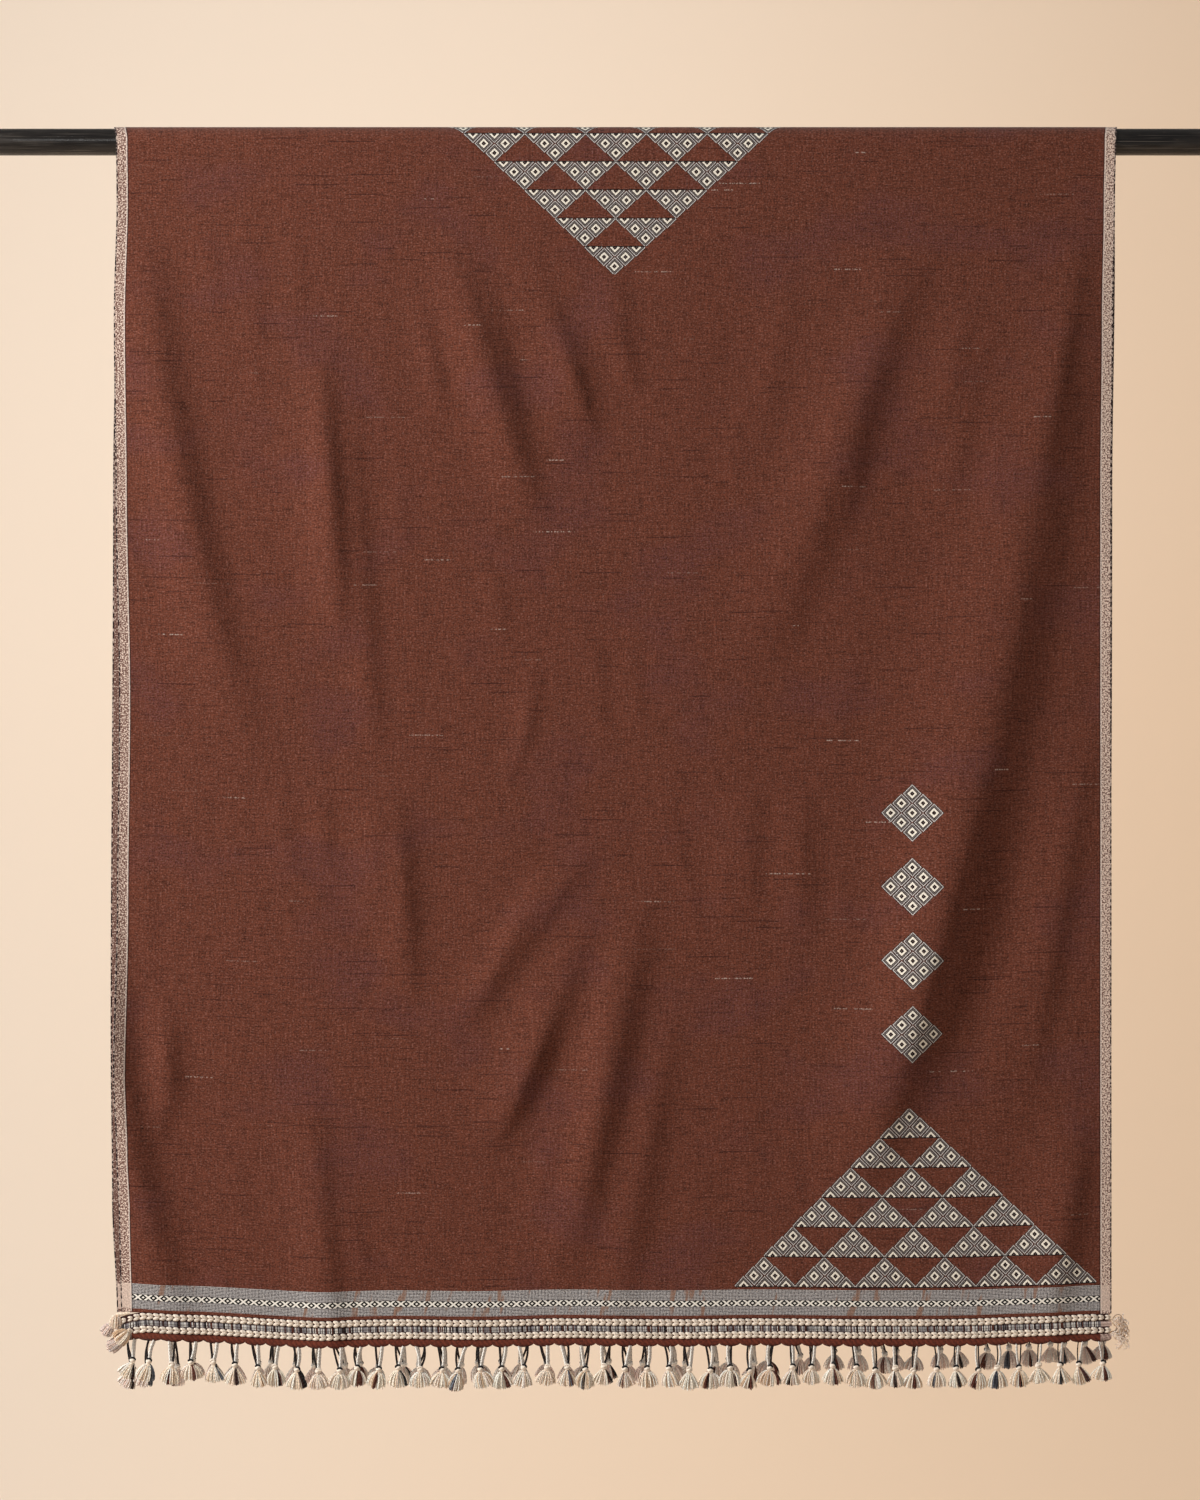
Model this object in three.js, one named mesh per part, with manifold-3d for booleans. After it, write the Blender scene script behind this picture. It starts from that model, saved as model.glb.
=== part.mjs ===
// A fringed wool shawl folded over a horizontal rod, in millimetres with +Z up.
// The origin is on the rod's axis, at the middle of the shawl's width. +X is to the right as seen from the
// front, and the front fall hangs on the -Y side. Each stretch of cloth is a thin wall swept down through
// level sections, and the twined rows below each hem follow the same hem line.

import * as THREE from "three";
import { mergeVertices } from "three/addons/utils/BufferGeometryUtils.js";
import Module from "manifold-3d";

const wasm = await Module();
wasm.setup();

// Driving dimensions
const ROD_RADIUS = 13.35;
const ROD_LENGTH = 1300;
const ROD_SIDES = 48;
const CLOTH_WALL = 1.5;
const SEAM_GAP = 0.3;
const INNER_FACE = ROD_RADIUS + SEAM_GAP;
const MIDDLE_FACE = INNER_FACE + CLOTH_WALL / 2;
const OVER_ROD_STEPS = 10;

// The twined rows under each hem, from the cloth down
const BRAID = { height: 6.9, thickness: 3.4 };
const RIB_ROW = { height: 5.3, thickness: 2.4 };
const SCALLOP = { cusp_depth: 5, belly_depth: 8, thickness: 1.8 };
const TASSELS_PER_END = 48;

// Half sizes of a tassel at its sections, and their drop below the scalloped strip's top edge
const TASSEL_SECTIONS = [
  { name: "root", drop: 5, half_width: 2.2, half_depth: 0.6 },
  { name: "stem foot", drop: 26, half_width: 2.3, half_depth: 1.2 },
  { name: "head", drop: 29.3, half_width: 3.7, half_depth: 3.1 },
  { name: "neck", drop: 32.3, half_width: 2.9, half_depth: 2.3 },
  { name: "skirt tips", drop: 51, half_width: 7.4, half_depth: 3.6 },
];
const TASSEL_LEAN = 4;
const TASSEL_LENGTH_SPREAD = 0.12;

// A fold is a ridge that stands out from the fall. Its crest runs through three points (x, z).
// The side that faces right is the steeper one.
const RIDGE_LEFT_SPREAD = 1.35;
const RIDGE_RIGHT_SPREAD = 0.8;

const FRONT = {
  name: "front",
  side: -1,
  columns: 36,
  rows: 26,
  hem: { left: -1171, right: -1172, sag: 6, wave: 1, waves: 3 },
  edges: [
    { z: 0, left: -498.5, right: 500.5 },
    { z: -60, left: -498, right: 499.5 },
    { z: -180, left: -500.5, right: 497.5 },
    { z: -350, left: -499, right: 496 },
    { z: -560, left: -495.5, right: 496 },
    { z: -1180, left: -493.5, right: 496 },
  ],
  folds: [
    { crest: [[-474, -90], [-440, -340], [-378, -600]], width: 30, height: 10 },
    { crest: [[-302, -210], [-292, -350], [-285, -500]], width: 26, height: 8.5 },
    { crest: [[-262, -250], [-250, -370], [-240, -500]], width: 20, height: 3 },
    { crest: [[-168, -90], [-122, -240], [-84, -370]], width: 22, height: 8 },
    { crest: [[-50, -180], [-38, -240], [-24, -310]], width: 20, height: 4 },
    { crest: [[-6, -120], [4, -180], [12, -250]], width: 18, height: 3 },
    { crest: [[302, -110], [215, -330], [152, -510]], width: 30, height: 8.5 },
    { crest: [[352, -150], [336, -220], [316, -310]], width: 22, height: 4 },
    { crest: [[446, -110], [406, -520], [282, -1000]], width: 44, height: 16 },
    { crest: [[456, -600], [425, -760], [392, -950]], width: 24, height: 3.5 },
    { crest: [[-14, -700], [-86, -790], [-156, -890]], width: 20, height: 4 },
    { crest: [[-30, -770], [-66, -880], [-112, -1000]], width: 26, height: 8.5 },
    { crest: [[24, -760], [-16, -950], [-58, -1120]], width: 26, height: 9 },
    { crest: [[48, -880], [16, -1030], [-4, -1160]], width: 24, height: 5 },
    { crest: [[134, -640], [132, -710], [128, -790]], width: 18, height: 3.5 },
    { crest: [[182, -640], [184, -720], [186, -810]], width: 18, height: 3.5 },
    { crest: [[-250, -630], [-250, -700], [-250, -790]], width: 18, height: 3.5 },
    { crest: [[-214, -640], [-212, -740], [-210, -860]], width: 20, height: 4 },
    { crest: [[-508, -620], [-494, -890], [-440, -1160]], width: 28, height: 8 },
    { crest: [[-328, -900], [-302, -1030], [-296, -1160]], width: 24, height: 5 },
    { crest: [[458, -990], [446, -1060], [432, -1130]], width: 22, height: 4 },
  ],
};

const BACK = {
  name: "back",
  side: 1,
  columns: 28,
  rows: 20,
  hem: { left: -1183, right: -1165, sag: 5, wave: 1.2, waves: 2 },
  edges: [
    { z: 0, left: -500, right: 503 },
    { z: -110, left: -502, right: 504.5 },
    { z: -350, left: -505, right: 503 },
    { z: -1180, left: -509, right: 502.5 },
  ],
  folds: [
    { crest: [[-430, -120], [-400, -360], [-350, -640]], width: 40, height: 9 },
    { crest: [[-250, -90], [-270, -300], [-300, -480]], width: 34, height: 6 },
    { crest: [[-60, -160], [-90, -400], [-150, -660]], width: 38, height: 8 },
    { crest: [[110, -100], [130, -330], [170, -560]], width: 36, height: 7 },
    { crest: [[330, -90], [300, -380], [240, -700]], width: 42, height: 10 },
    { crest: [[440, -420], [420, -760], [430, -1120]], width: 40, height: 8 },
    { crest: [[160, -700], [110, -940], [70, -1150]], width: 36, height: 7 },
    { crest: [[-90, -760], [-70, -960], [-90, -1150]], width: 34, height: 6 },
    { crest: [[-330, -720], [-370, -930], [-390, -1150]], width: 38, height: 8 },
  ],
};

// The side edges of the stretch over the rod, by the angle from the crest (the front is negative)
const OVER_ROD_EDGES = [
  { angle: -90, left: -498.5, right: 500.5 },
  { angle: 0, left: -502, right: 503 },
  { angle: 90, left: -500, right: 503 },
];

// Loose tassels at the ends of the braids. Their points lie out past the braid's end, forward of the cloth
// and below the hem, and each lock runs from the knob through a head to its tips.
const KNOB = { half_width: 1.8, half_depth: 1.6, top_drop: 1, foot_drop: 21 };
const CORNER_TASSELS = [
  {
    fall: FRONT,
    end: -1,
    locks: [
      {
        root: { out: 0, forward: 0, drop: 2.5 },
        head: { out: 3.2, forward: 0.5, drop: 4.5 },
        tips: { out: 4.6, forward: 0.5, drop: 16.5 },
        half_width: 4.6,
      },
      {
        root: { out: 0, forward: 0, drop: 18 },
        head: { out: 0.5, forward: 5.8, drop: 20 },
        tips: { out: -2.5, forward: 6.6, drop: 37 },
        half_width: 6.6,
      },
    ],
  },
  {
    fall: FRONT,
    end: 1,
    locks: [
      {
        root: { out: 0, forward: 0, drop: 3.5 },
        head: { out: 4, forward: 0.5, drop: 7 },
        tips: { out: 8.5, forward: 1.5, drop: 36 },
        half_width: 7.4,
      },
    ],
  },
  {
    fall: BACK,
    end: -1,
    locks: [
      {
        root: { out: 0, forward: 0, drop: 3 },
        head: { out: 3.4, forward: 0.5, drop: 5 },
        tips: { out: 4.4, forward: 0.5, drop: 18 },
        half_width: 5,
      },
      {
        root: { out: 0, forward: 0, drop: 18.5 },
        head: { out: 0.5, forward: 5.8, drop: 21 },
        tips: { out: -1.5, forward: 6.6, drop: 32 },
        half_width: 6.8,
      },
    ],
  },
  {
    fall: BACK,
    end: 1,
    locks: [
      {
        root: { out: 0, forward: 0, drop: 6 },
        head: { out: 3.4, forward: 0.5, drop: 9 },
        tips: { out: 5.5, forward: 1, drop: 30 },
        half_width: 6,
      },
    ],
  },
];

const WOOL = new THREE.MeshStandardMaterial({ color: "#64382d", roughness: 0.95, metalness: 0 });
const CREAM_YARN = new THREE.MeshStandardMaterial({ color: "#f0d7b4", roughness: 0.9, metalness: 0 });
const RIB_YARN = new THREE.MeshStandardMaterial({ color: "#4a4750", roughness: 0.9, metalness: 0 });
const FRINGE_YARN = new THREE.MeshStandardMaterial({ color: "#d9bf9c", roughness: 0.95, metalness: 0 });
const BLACK_PIPE = new THREE.MeshStandardMaterial({ color: "#2b2622", roughness: 0.5, metalness: 0.6 });

// A repeatable number from -0.5 to 0.5 for a piece's small irregularity
function wobble(index, seed) {
  const wave = Math.sin(index * 12.9898 + seed * 78.233) * 43758.5453;
  return wave - Math.floor(wave) - 0.5;
}

// The value of one column of a table at a place between its rows
function along(table, key, column, place) {
  const ascending = table[0][key] < table[table.length - 1][key];
  const rows = ascending ? table : [...table].reverse();
  const next = rows.findIndex((row) => row[key] >= place);
  if (next === 0) return rows[0][column];
  if (next < 0) return rows[rows.length - 1][column];
  const [from, to] = [rows[next - 1], rows[next]];
  const share = THREE.MathUtils.smoothstep(place, from[key], to[key]);
  return THREE.MathUtils.lerp(from[column], to[column], share);
}

// The crest's x at a height, on the parabola through its three points
function crestX(crest, z) {
  const [[x0, z0], [x1, z1], [x2, z2]] = crest;
  return (
    (x0 * (z - z1) * (z - z2)) / ((z0 - z1) * (z0 - z2)) +
    (x1 * (z - z0) * (z - z2)) / ((z1 - z0) * (z1 - z2)) +
    (x2 * (z - z0) * (z - z1)) / ((z2 - z0) * (z2 - z1))
  );
}

// How far one fold lifts the cloth at a place
function foldHeight(fold, x, z) {
  const share = (z - fold.crest[0][1]) / (fold.crest[2][1] - fold.crest[0][1]);
  if (share <= 0 || share >= 1) return 0;
  const across = x - crestX(fold.crest, z);
  const spread = across < 0 ? RIDGE_LEFT_SPREAD : RIDGE_RIGHT_SPREAD;
  const reach = across / (fold.width * spread);
  return fold.height * Math.exp(-reach * reach) * Math.sin(Math.PI * share);
}

// How far the folds together lift the cloth
function lift(fall, x, z) {
  return fall.folds.reduce((sum, fold) => sum + foldHeight(fold, x, z), 0);
}

function xAt(fall, u, z) {
  const left = along(fall.edges, "z", "left", z);
  const right = along(fall.edges, "z", "right", z);
  return THREE.MathUtils.lerp(left, right, u);
}

// The hem's height at a share of the width
function hemZ(fall, u) {
  const { left, right, sag, wave, waves } = fall.hem;
  const level = THREE.MathUtils.lerp(left, right, u);
  return level - 4 * sag * u * (1 - u) - wave * Math.sin(waves * 2 * Math.PI * u);
}

// A point of the line that hangs a given drop below the hem, in the cloth's middle
function underHem(fall, u, drop) {
  const z = hemZ(fall, u);
  const x = xAt(fall, u, z);
  return new THREE.Vector3(x, fall.side * (MIDDLE_FACE + lift(fall, x, z)), z - drop);
}

// A closed body through rings of equally many points. Each end is closed by pairing the ring's first half
// with its second half, so the number of points is even.
function loft(rings) {
  const count = rings[0].length;
  const triangles = [];
  const quad = (a, b, c, d) => triangles.push(a, b, c, a, c, d);
  for (let ring = 0; ring + 1 < rings.length; ring++) {
    for (let i = 0; i < count; i++) {
      const next = (i + 1) % count;
      const here = ring * count;
      const there = here + count;
      quad(here + i, here + next, there + next, there + i);
    }
  }
  const last = (rings.length - 1) * count;
  for (let i = 0; i + 1 < count / 2; i++) {
    const opposite = count - 1 - i;
    quad(i, opposite, opposite - 1, i + 1);
    quad(last + i, last + i + 1, last + opposite - 1, last + opposite);
  }
  const geometry = new THREE.BufferGeometry();
  const places = rings.flat().flatMap((point) => point.toArray());
  geometry.setAttribute("position", new THREE.Float32BufferAttribute(places, 3));
  geometry.setIndex(triangles);
  return facingOut(geometry);
}

// Turns every triangle round where the body's volume comes out negative
function facingOut(geometry) {
  const at = geometry.getAttribute("position");
  const index = geometry.getIndex();
  const corner = (i) => new THREE.Vector3().fromBufferAttribute(at, index.getX(i));
  let volume = 0;
  for (let i = 0; i < index.count; i += 3) volume += corner(i).dot(corner(i + 1).cross(corner(i + 2)));
  if (volume < 0) geometry.setIndex([...index.array].reverse());
  geometry.computeVertexNormals();
  return geometry;
}

// A level section of a fall: its outer face from left to right, then its inner face back
function fallSection(fall, v) {
  const outer = [];
  const inner = [];
  for (let column = 0; column <= fall.columns; column++) {
    const u = column / fall.columns;
    const z = THREE.MathUtils.lerp(-SEAM_GAP / 2, hemZ(fall, u), v);
    const x = xAt(fall, u, z);
    const face = INNER_FACE + lift(fall, x, z);
    outer.push(new THREE.Vector3(x, fall.side * (face + CLOTH_WALL), z));
    inner.unshift(new THREE.Vector3(x, fall.side * face, z));
  }
  return [...outer, ...inner];
}

function fallGeometry(fall) {
  const rings = [];
  for (let row = 0; row <= fall.rows; row++) rings.push(fallSection(fall, row / fall.rows));
  return loft(rings);
}

function overRodGeometry() {
  const rings = [];
  const trim = THREE.MathUtils.radToDeg(SEAM_GAP / 2 / INNER_FACE);
  for (let step = 0; step <= OVER_ROD_STEPS; step++) {
    const angle = THREE.MathUtils.lerp(-90 + trim, 90 - trim, step / OVER_ROD_STEPS);
    const left = along(OVER_ROD_EDGES, "angle", "left", angle);
    const right = along(OVER_ROD_EDGES, "angle", "right", angle);
    const place = (x, radius) => {
      const turn = THREE.MathUtils.degToRad(angle);
      return new THREE.Vector3(x, radius * Math.sin(turn), radius * Math.cos(turn));
    };
    // The facets of the inner face stay clear of the rod between two steps
    const inner = INNER_FACE / Math.cos(Math.PI / 2 / OVER_ROD_STEPS);
    const outer = inner + CLOTH_WALL;
    rings.push([place(left, outer), place(right, outer), place(right, inner), place(left, inner)]);
  }
  return loft(rings);
}

// A row of rounded section along the hem, with six sides
function twinedRowGeometry(fall, drop, row) {
  const rings = [];
  const sections = fall.columns / 2;
  for (let i = 0; i <= sections; i++) {
    const middle = underHem(fall, i / sections, drop + row.height / 2);
    const point = (y, z) => new THREE.Vector3(middle.x, middle.y + y, middle.z + z);
    const [y, z] = [row.thickness / 2, row.height / 2];
    const back = [point(0, z), point(y, z / 2), point(y, -z / 2)];
    const front = [point(0, -z), point(-y, -z / 2), point(-y, z / 2)];
    rings.push([...back, ...front]);
  }
  return loft(rings);
}

function scallopGeometry(fall, drop) {
  const rings = [];
  const sections = TASSELS_PER_END * 2;
  for (let i = 0; i <= sections; i++) {
    const depth = i % 2 ? SCALLOP.belly_depth : SCALLOP.cusp_depth;
    const top = underHem(fall, i / sections, drop);
    const point = (y, z) => new THREE.Vector3(top.x, top.y + y, top.z + z);
    const y = SCALLOP.thickness / 2;
    rings.push([point(-y, 0), point(y, 0), point(y, -depth), point(-y, -depth)]);
  }
  return loft(rings);
}

// A level four-sided section round a point
function flatSection(middle, halfWidth, halfDepth) {
  return [
    new THREE.Vector3(middle.x - halfWidth, middle.y - halfDepth, middle.z),
    new THREE.Vector3(middle.x + halfWidth, middle.y - halfDepth, middle.z),
    new THREE.Vector3(middle.x + halfWidth, middle.y + halfDepth, middle.z),
    new THREE.Vector3(middle.x - halfWidth, middle.y + halfDepth, middle.z),
  ];
}

function tasselGeometry(fall, index, drop) {
  const seed = fall.side + 2;
  const top = underHem(fall, (index + 0.5) / TASSELS_PER_END, drop);
  const stretch = 1 + TASSEL_LENGTH_SPREAD * wobble(index, seed);
  const root = TASSEL_SECTIONS[0].drop;
  const length = TASSEL_SECTIONS.at(-1).drop - root;
  const rings = TASSEL_SECTIONS.map((section) => {
    const down = (section.drop - root) * stretch;
    const sideways = (TASSEL_LEAN * wobble(index, seed + 10) * down) / length;
    const middle = new THREE.Vector3(top.x + sideways, top.y, top.z - root - down);
    return flatSection(middle, section.half_width, section.half_depth);
  });
  return loft(rings);
}

function solid(geometry) {
  const bare = new THREE.BufferGeometry();
  bare.setAttribute("position", geometry.getAttribute("position"));
  bare.setIndex(geometry.getIndex());
  const merged = mergeVertices(bare, 1e-4);
  return new wasm.Manifold(
    new wasm.Mesh({
      numProp: 3,
      vertProperties: new Float32Array(merged.getAttribute("position").array),
      triVerts: new Uint32Array(merged.getIndex().array),
    }),
  );
}

// One body from overlapping closed bodies
function fused(geometries) {
  const joined = geometries.map(solid).reduce((sum, next) => sum.add(next));
  const mesh = joined.getMesh();
  const geometry = new THREE.BufferGeometry();
  geometry.setAttribute("position", new THREE.BufferAttribute(new Float32Array(mesh.vertProperties), 3));
  geometry.setIndex(new THREE.BufferAttribute(new Uint32Array(mesh.triVerts), 1));
  geometry.computeVertexNormals();
  return geometry;
}

function fringeGeometry(fall, drop) {
  const bodies = [scallopGeometry(fall, drop)];
  for (let index = 0; index < TASSELS_PER_END; index++) bodies.push(tasselGeometry(fall, index, drop));
  return fused(bodies);
}

function cornerTasselGeometry({ fall, end, locks }) {
  const hemEnd = underHem(fall, end < 0 ? 0 : 1, 0);
  const knobX = hemEnd.x + end * (SEAM_GAP + KNOB.half_width);
  const place = ({ out, forward, drop }) =>
    new THREE.Vector3(knobX + end * out, hemEnd.y + fall.side * forward, hemEnd.z - drop);
  const knobEnd = (drop) => flatSection(place({ out: 0, forward: 0, drop }), KNOB.half_width, KNOB.half_depth);
  const knob = loft([knobEnd(KNOB.top_drop), knobEnd(KNOB.foot_drop)]);
  const bodies = locks.map(({ root, head, tips, half_width }) =>
    loft([
      flatSection(place(root), 1.2, 1.1),
      flatSection(place(head), 2.8, 2),
      flatSection(place(tips), half_width, 2.6),
    ]),
  );
  return fused([knob, ...bodies]);
}

function rodGeometry() {
  return new THREE.CylinderGeometry(ROD_RADIUS, ROD_RADIUS, ROD_LENGTH, ROD_SIDES).rotateZ(Math.PI / 2);
}

const shawl = new THREE.Group();

function add(parent, name, geometry, material) {
  const mesh = new THREE.Mesh(geometry, material);
  mesh.name = name;
  parent.add(mesh);
}

add(shawl, "rod", rodGeometry(), BLACK_PIPE);
add(shawl, "rod_fold", overRodGeometry(), WOOL);

for (const fall of [FRONT, BACK]) {
  const end = new THREE.Group();
  const upper = SEAM_GAP;
  const ribs = upper + BRAID.height + SEAM_GAP;
  const lower = ribs + RIB_ROW.height + SEAM_GAP;
  const scallops = lower + BRAID.height + SEAM_GAP;
  add(end, `${fall.name}_fall`, fallGeometry(fall), WOOL);
  add(end, `${fall.name}_braid_upper`, twinedRowGeometry(fall, upper, BRAID), CREAM_YARN);
  add(end, `${fall.name}_rib_row`, twinedRowGeometry(fall, ribs, RIB_ROW), RIB_YARN);
  add(end, `${fall.name}_braid_lower`, twinedRowGeometry(fall, lower, BRAID), CREAM_YARN);
  add(end, `${fall.name}_fringe`, fringeGeometry(fall, scallops), FRINGE_YARN);
  shawl.add(end);
}

for (const corner of CORNER_TASSELS) {
  const hand = corner.end < 0 ? "left" : "right";
  add(shawl, `${corner.fall.name}_${hand}_tassels`, cornerTasselGeometry(corner), FRINGE_YARN);
}

export default shawl;
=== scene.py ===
"""A fringed wool shawl folded over a horizontal rod: its cloth, twined edges, tassels, rod and studio.

Lengths are in metres, with +Z up and the front of the shawl towards -Y. The cloth, the twined rows and
the tassels follow the sizes, hem lines and folds of the solids that they replace. What is woven into the
cloth is worked out in its flat coordinates: U across it and V along its warp, with V zero at the crest over
the rod and positive down the front.
"""

import math
from types import SimpleNamespace

import bpy
import numpy as np
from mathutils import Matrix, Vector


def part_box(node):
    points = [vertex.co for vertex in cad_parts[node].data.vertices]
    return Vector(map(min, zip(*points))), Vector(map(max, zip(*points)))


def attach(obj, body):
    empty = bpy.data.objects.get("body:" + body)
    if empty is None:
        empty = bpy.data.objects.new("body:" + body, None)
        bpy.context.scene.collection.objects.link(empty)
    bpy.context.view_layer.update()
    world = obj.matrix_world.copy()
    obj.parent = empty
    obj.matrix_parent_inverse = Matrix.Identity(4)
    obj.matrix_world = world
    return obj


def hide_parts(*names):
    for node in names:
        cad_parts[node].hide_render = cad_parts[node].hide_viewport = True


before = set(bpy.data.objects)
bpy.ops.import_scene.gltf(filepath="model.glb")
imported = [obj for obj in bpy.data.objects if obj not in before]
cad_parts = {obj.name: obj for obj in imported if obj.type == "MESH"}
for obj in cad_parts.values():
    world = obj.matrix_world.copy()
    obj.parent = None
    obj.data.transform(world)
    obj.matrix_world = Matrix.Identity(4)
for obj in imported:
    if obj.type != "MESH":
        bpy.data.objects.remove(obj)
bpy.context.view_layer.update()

MM = 0.001

# Sizes that the solids share, from the rod outwards and from the cloth's hem down
rod_low, rod_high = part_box("rod")
ROD_RADIUS = (rod_high.z - rod_low.z) / 2
SEAM_GAP = 0.3 * MM
SOLID_WALL = 1.5 * MM
CLOTH_MIDDLE = ROD_RADIUS + SEAM_GAP + SOLID_WALL / 2
CLOTH_THICKNESS = 1.1 * MM
FLAT_WIDTH = 1.0
FALL_LENGTH = 1.1755
QUARTER_TURN = CLOTH_MIDDLE * math.pi / 2
HEM_V = QUARTER_TURN + FALL_LENGTH
BRAID_HEIGHT = 6.9 * MM
RIB_HEIGHT = 5.3 * MM
UPPER_BRAID_DROP = SEAM_GAP
RIB_DROP = UPPER_BRAID_DROP + BRAID_HEIGHT + SEAM_GAP
LOWER_BRAID_DROP = RIB_DROP + RIB_HEIGHT + SEAM_GAP
SCALLOP_DROP = LOWER_BRAID_DROP + BRAID_HEIGHT + SEAM_GAP
CUSP_DEPTH = 5 * MM
BELLY_DEPTH = 8 * MM
TASSELS_PER_END = 48
STITCHES_PER_ROW = 149
RIBS_PER_ROW = 1000

# A fold's right flank is the steeper one
RIDGE_LEFT_SPREAD = 1.35
RIDGE_RIGHT_SPREAD = 0.8

# The tables below are in millimetres.
# hem: left and right height, sag between them, and a wave's height and count
# dips: places along the hem from 0 to 1 where it hangs lower or higher, with each one's width and depth
# edges: height, left edge, right edge
# folds: the crest's x and z at its top, middle and foot, then its width and height
FRONT_DIPS = [
    (0.0, 0.09, -1.5),
    (0.2, 0.075, 4.5),
    (0.33, 0.08, 1.8),
    (0.44, 0.06, -1.6),
    (0.57, 0.06, 1.4),
    (0.87, 0.09, 2.8),
]
FRONT_EDGES = [
    (0, -498.5, 500.5),
    (-60, -498, 499.5),
    (-180, -500.5, 497.5),
    (-350, -499, 496),
    (-560, -495.5, 496),
    (-760, -497.5, 496),
    (-930, -500, 496),
    (-1010, -497, 496),
    (-1070, -494.8, 496),
    (-1180, -493.5, 496),
]
FRONT_FOLDS = [
    (-476, -70, -438, -320, -356, -640, 26, 9.5),
    (-295, -200, -285, -360, -272, -520, 17, 10.5),
    (-268, -230, -258, -370, -238, -640, 14, 4),
    (-168, -90, -124, -240, -74, -400, 20, 9),
    (-50, -180, -38, -240, -24, -310, 20, 4),
    (-6, -120, 4, -180, 12, -250, 18, 3),
    (306, -90, 219, -330, 146, -530, 30, 10),
    (352, -150, 336, -220, 316, -310, 22, 4),
    (452, -70, 384, -530, 240, -1060, 44, 17),
    (472, -580, 442, -760, 400, -990, 20, 6),
    (-14, -690, -86, -790, -160, -900, 20, 5.5),
    (-28, -750, -72, -890, -132, -1010, 25, 7.8),
    (24, -750, -8, -950, -54, -1150, 24, 12),
    (56, -860, 24, -1030, -6, -1210, 22, 6.5),
    (134, -640, 132, -710, 128, -790, 18, 3.5),
    (182, -640, 184, -720, 186, -810, 18, 3.5),
    (-246, -620, -242, -700, -240, -790, 16, 3.5),
    (-214, -640, -212, -740, -210, -860, 20, 4),
    (-530, -640, -500, -940, -414, -1250, 28, 14),
    (-310, -940, -292, -1090, -282, -1260, 20, 7),
    (464, -960, 448, -1080, 426, -1220, 24, 9),
]
FRONT_CREASES = [
    (-408, -70, -404, -120, -398, -190, 9, 0.9),
    (-366, -60, -362, -110, -358, -200, 8, 0.8),
    (-322, -70, -318, -130, -312, -230, 9, 0.9),
    (-330, -250, -318, -360, -312, -450, 12, 1.6),
    (-196, -150, -184, -215, -170, -290, 9, 2.8),
    (-98, -80, -60, -200, -34, -330, 16, 2.2),
    (-128, -420, -118, -460, -112, -500, 14, 1.6),
    (-24, -480, -16, -550, -10, -620, 9, 1.6),
    (12, -500, 20, -550, 26, -600, 8, 1.2),
    (60, -360, 66, -410, 70, -450, 7, 0.6),
    (180, -130, 150, -260, 128, -360, 16, 1.4),
    (130, -250, 122, -310, 118, -370, 8, 0.9),
    (378, -150, 350, -270, 318, -400, 17, 2.8),
    (468, -90, 446, -220, 420, -360, 14, 3.4),
    (250, -470, 236, -540, 220, -610, 14, 1.2),
    (110, -690, 108, -740, 106, -790, 8, 1.0),
    (226, -700, 230, -760, 236, -850, 12, 1.0),
    (-330, -640, -328, -690, -322, -760, 10, 1.2),
    (-292, -640, -290, -690, -288, -740, 9, 1.4),
    (-150, -690, -112, -700, -76, -722, 16, 2.4),
    (-64, -720, -104, -800, -150, -884, 11, 2.8),
    (2, -800, -12, -930, -40, -1090, 11, 2.6),
    (366, -600, 315, -820, 236, -1070, 30, 11),
    (-62, -860, -94, -950, -128, -1020, 13, 5.0),
    (-82, -520, -88, -590, -112, -650, 9, 2.8),
    (-452, -850, -448, -920, -454, -1010, 12, 4.5),
    (-226, -620, -212, -740, -204, -880, 12, 3.0),
    (-14, -160, 6, -210, 16, -260, 9, 1.8),
    (-64, -160, -42, -230, -22, -300, 10, 2.4),
    (-136, -110, -112, -210, -84, -320, 9, 1.8),
    (250, -290, 238, -350, 222, -410, 10, 1.8),
    (-60, -980, -72, -1040, -84, -1090, 10, 1.8),
    (-268, -1050, -258, -1100, -248, -1150, 12, 2.4),
    (-446, -880, -440, -930, -436, -980, 12, 2.4),
    (-470, -700, -466, -780, -458, -860, 12, 1.6),
    (406, -800, 396, -870, 380, -960, 12, 1.6),
    (40, -640, 60, -700, 84, -780, 10, 1.2),
    (-220, -300, -214, -380, -208, -470, 12, 1.2),
]
FRONT = SimpleNamespace(
    name="front",
    side=-1,
    hem=(-1171, -1172, 6, 1, 3),
    dips=FRONT_DIPS,
    edges=FRONT_EDGES,
    folds=FRONT_FOLDS,
    creases=FRONT_CREASES,
)
BACK_EDGES = [
    (0, -500, 503),
    (-110, -502, 503),
    (-350, -505, 500.5),
    (-900, -507.5, 499),
    (-1060, -506, 498.5),
    (-1180, -501, 498),
]
BACK_FOLDS = [
    (-430, -120, -400, -360, -350, -640, 40, 9),
    (-250, -90, -270, -300, -300, -480, 34, 6),
    (-60, -160, -90, -400, -150, -660, 38, 8),
    (110, -100, 130, -330, 170, -560, 36, 7),
    (330, -90, 300, -380, 240, -700, 42, 10),
    (440, -420, 420, -760, 430, -1120, 40, 8),
    (160, -700, 110, -940, 70, -1150, 36, 7),
    (-90, -760, -70, -960, -90, -1150, 34, 6),
    (-330, -720, -370, -930, -390, -1150, 38, 8),
]
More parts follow.
